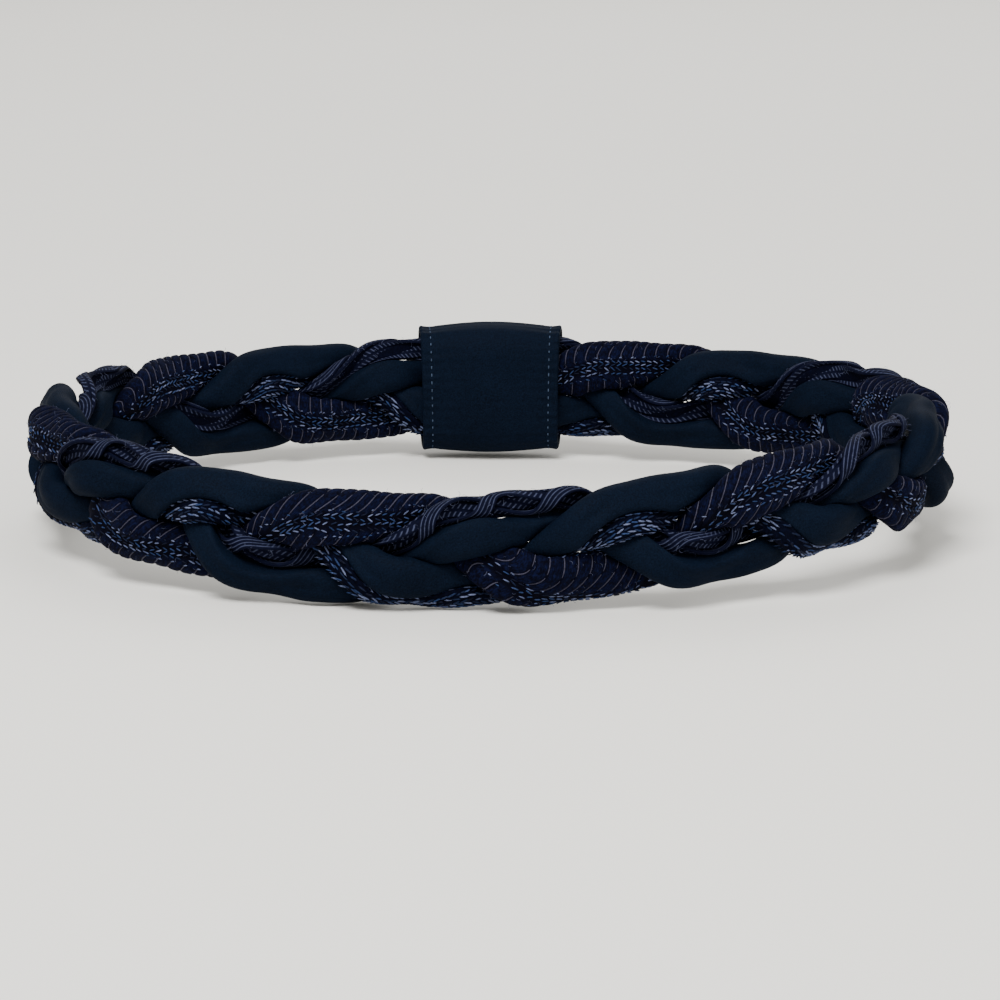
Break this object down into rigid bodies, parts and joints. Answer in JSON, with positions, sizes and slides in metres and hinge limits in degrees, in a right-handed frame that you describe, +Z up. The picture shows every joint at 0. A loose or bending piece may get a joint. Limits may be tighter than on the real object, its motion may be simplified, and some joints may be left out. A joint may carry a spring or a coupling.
{
  "type": "braided wrap belt",
  "caption": "Flat plait of satin tubes, rope braid, small plait and knitted cord round an open waist, closed by a plain sleeve at the back.",
  "frame": {"origin": "on the upright axis of the waist opening, at the mean height of the belt's middle line; the waist mount", "axes": "+X to the right seen from the front, +Y to the back where the clasp is, +Z up"},
  "size_m": [0.2662, 0.2133, 0.0431],
  "materials": {
    "satin": "dark navy satin with a soft broad sheen",
    "knit": "dark navy knitted cord with light dashes",
    "rope": "dark navy plump braid with light threads between its ribs",
    "pinstripe_band": "dark navy bands with light pinstripes",
    "clasp_satin": "dark navy satin stretched over a stiff sleeve"
  },
  "bodies": {
    "root": {"satin_tube_upper": "satin", "knit_cord": "knit", "rope_braid": "rope", "mini_plait": "pinstripe_band", "satin_tube_lower": "satin", "back_clasp": "clasp_satin"}
  },
  "joints": []
}
